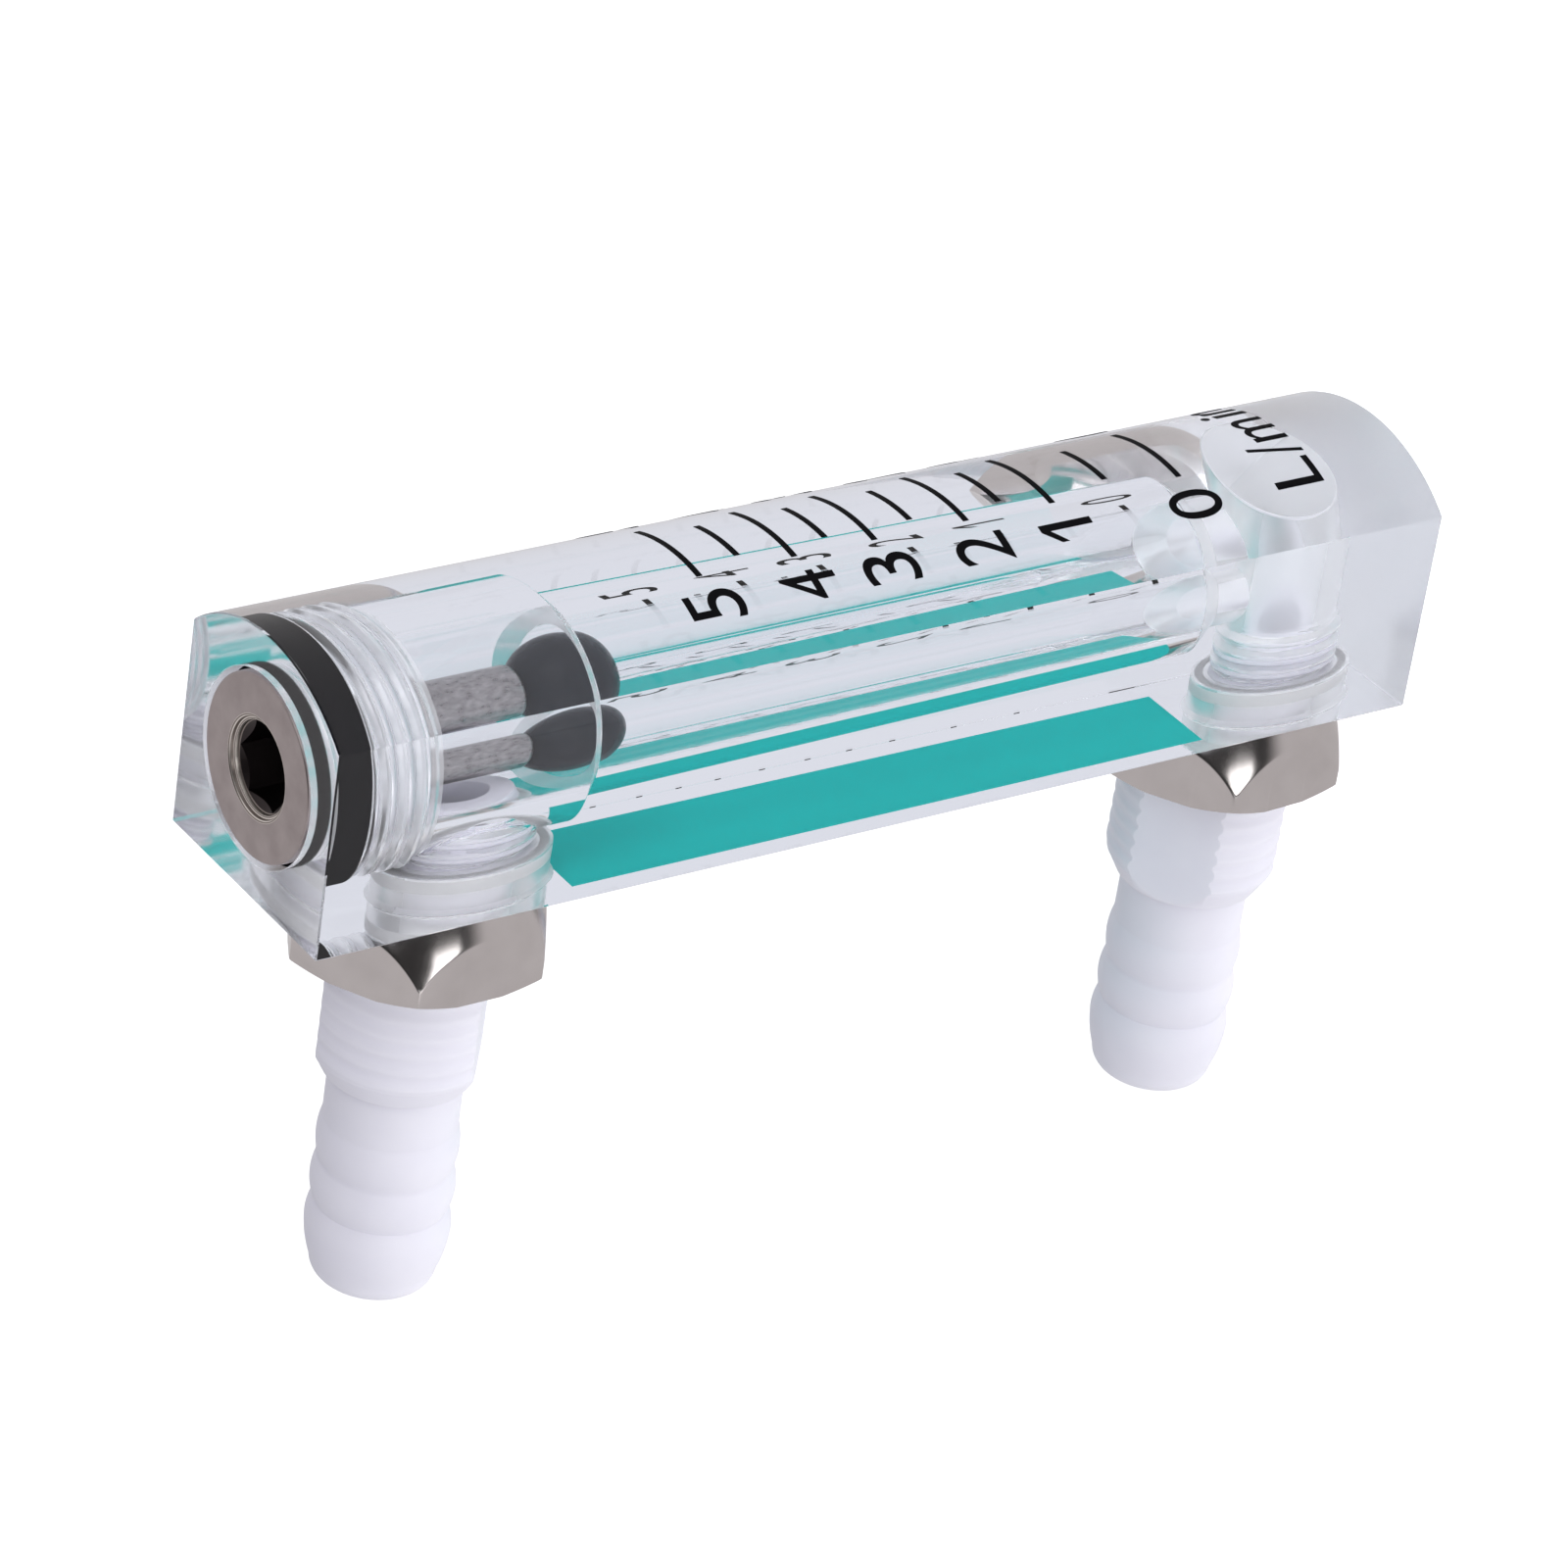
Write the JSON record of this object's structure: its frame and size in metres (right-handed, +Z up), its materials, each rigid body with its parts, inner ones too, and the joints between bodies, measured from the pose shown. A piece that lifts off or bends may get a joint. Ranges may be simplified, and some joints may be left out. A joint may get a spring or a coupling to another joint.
{
  "type": "oxygen flowmeter",
  "caption": "Clear block flowmeter for oxygen: a ball rises in a tapered bore beside a printed scale, with barbed hose fittings and lock nuts on the flat back.",
  "frame": {"origin": "on the metering bore's centre line, in the block's bottom end face", "axes": "+Z up the bore in the flow direction, +Y out of the flat back that carries the hose fittings, -Y out of the domed front with the scale"},
  "size_m": [0.021, 0.0601, 0.1027],
  "materials": {
    "clear_acrylic": "polished, clear",
    "plug_steel": "turned satin",
    "pin_steel": "turned",
    "nickel_plate": "bright plated",
    "black_rubber": "smooth",
    "clear_silicone": "translucent, smooth",
    "float_black": "polished",
    "white_nylon": "moulded, translucent",
    "teal_print": "screen print",
    "black_print": "screen print"
  },
  "bodies": {
    "meter": {"flowmeter_block": "clear_acrylic", "end_plug": "plug_steel", "plug_o_ring": "black_rubber", "stop_pin": "pin_steel", "outlet_fitting": "white_nylon", "inlet_fitting": "white_nylon", "outlet_o_ring": "clear_silicone", "inlet_o_ring": "clear_silicone", "outlet_nut": "nickel_plate", "inlet_nut": "nickel_plate", "back_stripe": "teal_print", "scale_graduations": "black_print"},
    "float": {"float_ball": "float_black"}
  },
  "joints": [
    {"name": "float_slide", "type": "slide", "parent": "meter", "child": "float", "axis": [0, 0, 1], "range_m": [-0.0548, 0]}
  ]
}
